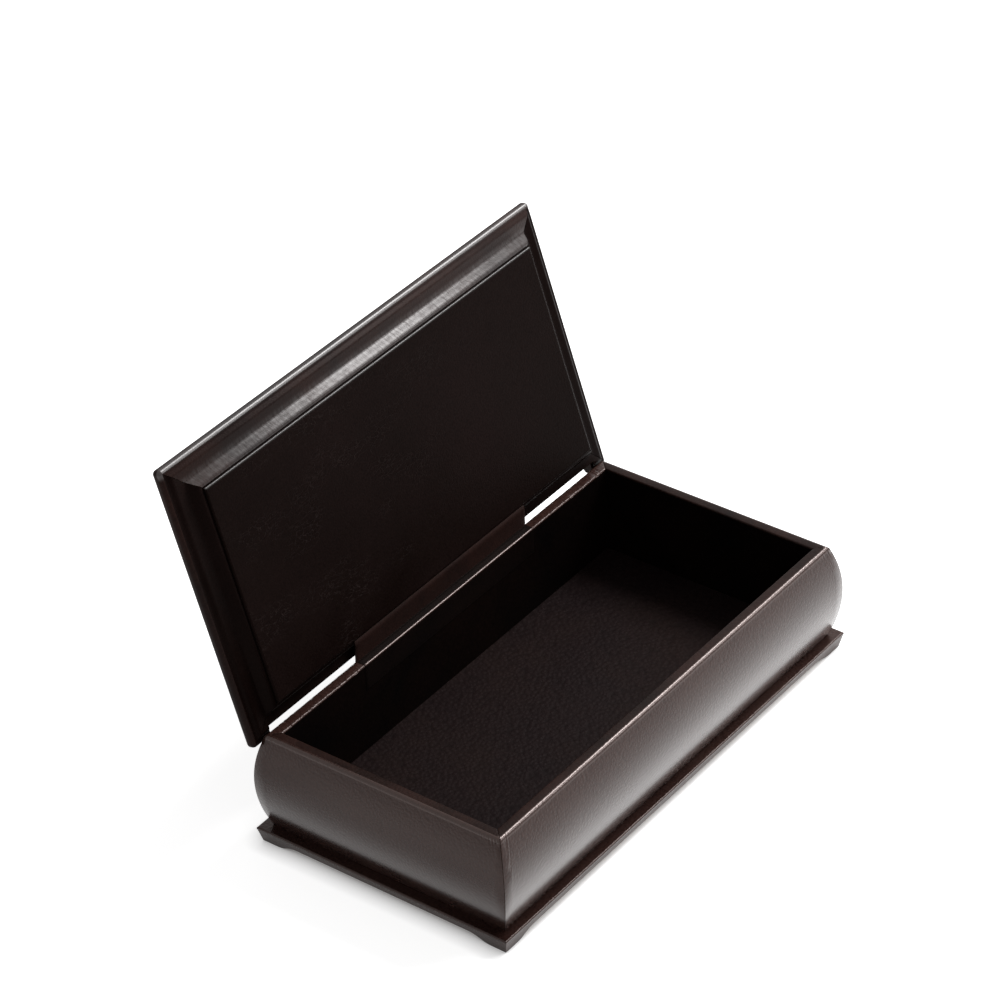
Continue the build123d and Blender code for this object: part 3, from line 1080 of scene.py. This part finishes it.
class VALETBOX_OT_plinth(bpy.types.Operator):
    """Gives the plinth its leather and the sheet under it its cloth"""

    bl_idname = "valetbox.plinth"
    bl_label = "Plinth"

    def execute(self, context):
        dress("plinth_top_leather", hide("burnished_cover_hide"))
        for side in ("front", "back", "left", "right"):
            dress(f"plinth_side_leather_{side}", hide("plinth_side_hide"))
        dress("plinth_underside_lining", cloth_material())
        return {"FINISHED"}


class VALETBOX_OT_boards(bpy.types.Operator):
    """Gives every board under the leather its wood"""

    bl_idname = "valetbox.boards"
    bl_label = "Boards"

    def execute(self, context):
        for part in frame["record"]["subparts"]:
            if part["material_slot"] == "core_board":
                dress(part["node"], board_material())
        return {"FINISHED"}


# ---------------------------------------------------------------- stage

CAMERA_PLACE = (-1.04154, -0.79821, 1.04004)
CAMERA_TURN = (54.895, 2.258, -53.302)
CAMERA_LENS = 150.416
SENSOR = 36.0
FLOOR_HALF = 6.0
FLOOR_LIFT = 0.78  # emission that brings the floor up to white
SHADOW_REACH = 8.0 * MM  # how far the contact shadow spreads over the floor
FILL_LEVEL = 0.28  # strength of the world's light on the box
SOFTBOX = 0.5
LIT_PLACE = (0.0, 0.0, 0.05)
WHITE = (1.0, 1.0, 1.0, 1.0)


def softbox(name, place, power):
    """Square area light that faces the box."""
    lamp = bpy.data.lights.new(name, "AREA")
    lamp.shape = "RECTANGLE"
    lamp.size = SOFTBOX
    lamp.size_y = SOFTBOX
    lamp.energy = power
    made = bpy.data.objects.new(name, lamp)
    bpy.context.scene.collection.objects.link(made)
    made.location = place
    made.rotation_euler = (Vector(LIT_PLACE) - Vector(place)).to_track_quat("-Z", "Y").to_euler()


def seen_directly(tree):
    """1 for camera, glossy and transmission rays, 0 for the rest."""
    path = tree.nodes.new("ShaderNodeLightPath").outputs
    first = calculate(tree, "MAXIMUM", path["Is Camera Ray"], path["Is Glossy Ray"])
    return calculate(tree, "MAXIMUM", first, path["Is Transmission Ray"])


def floor_material():
    """Pale floor that keeps a soft shadow and reads white."""
    material, tree = new_material("studio_floor")
    # the lift fades close to the box and under it, so that the contact shadow stays
    near = add(tree, "ShaderNodeAmbientOcclusion", Distance=SHADOW_REACH)
    open_floor = calculate(tree, "MULTIPLY", seen_directly(tree), near.outputs["AO"])
    set_shader(
        tree, Base_Color=shade("floor"), Roughness=1.0, Specular_IOR_Level=0.0,
        Emission_Color=WHITE,
        Emission_Strength=calculate(tree, "MULTIPLY", open_floor, FLOOR_LIFT))
    return material


class VALETBOX_OT_stage(bpy.types.Operator):
    """Makes the floor, the soft studio light and the camera"""

    bl_idname = "valetbox.stage"
    bl_label = "Stage"

    def execute(self, context):
        scene = bpy.context.scene
        mesh = bmesh.new()
        bmesh.ops.create_grid(mesh, x_segments=1, y_segments=1, size=FLOOR_HALF)
        floor = piece("studio_floor", mesh, [floor_material()])
        world = bpy.data.worlds.new("studio")
        scene.world = world
        world.use_nodes = True
        tree = world.node_tree
        level = ramp(tree, seen_directly(tree), 0.0, 1.0, FILL_LEVEL, 1.0, "LINEAR")
        put(tree, WHITE, tree.nodes["Background"].inputs["Color"])
        put(tree, level, tree.nodes["Background"].inputs["Strength"])
        softbox("key_softbox", (0.92, -0.18, 1.2), 22.0)
        softbox("low_softbox", (0.92, -0.80, 0.85), 6.5)
        data = bpy.data.cameras.new("camera")
        data.lens = CAMERA_LENS
        data.sensor_width = SENSOR
        data.clip_end = 100.0
        camera = bpy.data.objects.new("camera", data)
        scene.collection.objects.link(camera)
        camera.location = CAMERA_PLACE
        camera.rotation_euler = [math.radians(angle) for angle in CAMERA_TURN]
        scene.camera = camera
        scene.view_settings.view_transform = "Standard"
        return {"FINISHED"}


# ---------------------------------------------------------------- add-on


STEPS = (
    VALETBOX_OT_stage,
    VALETBOX_OT_boards,
    VALETBOX_OT_plinth,
    VALETBOX_OT_tray,
    VALETBOX_OT_walls,
    VALETBOX_OT_lid_faces,
    VALETBOX_OT_lid_frame,
    VALETBOX_OT_hinge_strip,
)


class VALETBOX_PT_pieces(bpy.types.Panel):
    """Lists the steps that build the valet box"""

    bl_label = "Valet Box"
    bl_idname = "VALETBOX_PT_pieces"
    bl_space_type = "VIEW_3D"
    bl_region_type = "UI"
    bl_category = "Valet Box"

    def draw(self, context):
        for step in STEPS:
            self.layout.operator(step.bl_idname)
        for group in (context.scene.valet_box_sizes, context.scene.valet_box_colours):
            for name in group.bl_rna.properties.keys():
                if name not in ("rna_type", "name"):
                    self.layout.prop(group, name)


CLASSES = (BoxSizes, BoxColours, *STEPS, VALETBOX_PT_pieces)


def register():
    for made in CLASSES:
        bpy.utils.register_class(made)
    bpy.types.Scene.valet_box_sizes = bpy.props.PointerProperty(type=BoxSizes)
    bpy.types.Scene.valet_box_colours = bpy.props.PointerProperty(type=BoxColours)


def unregister():
    del bpy.types.Scene.valet_box_colours
    del bpy.types.Scene.valet_box_sizes
    for made in reversed(CLASSES):
        bpy.utils.unregister_class(made)


def main():
    register()
    bpy.ops.valetbox.stage()
    bpy.ops.valetbox.boards()
    bpy.ops.valetbox.plinth()
    bpy.ops.valetbox.tray()
    bpy.ops.valetbox.walls()
    bpy.ops.valetbox.lid_faces()
    bpy.ops.valetbox.lid_frame()
    bpy.ops.valetbox.hinge_strip()


if __name__ == "__main__":
    main()
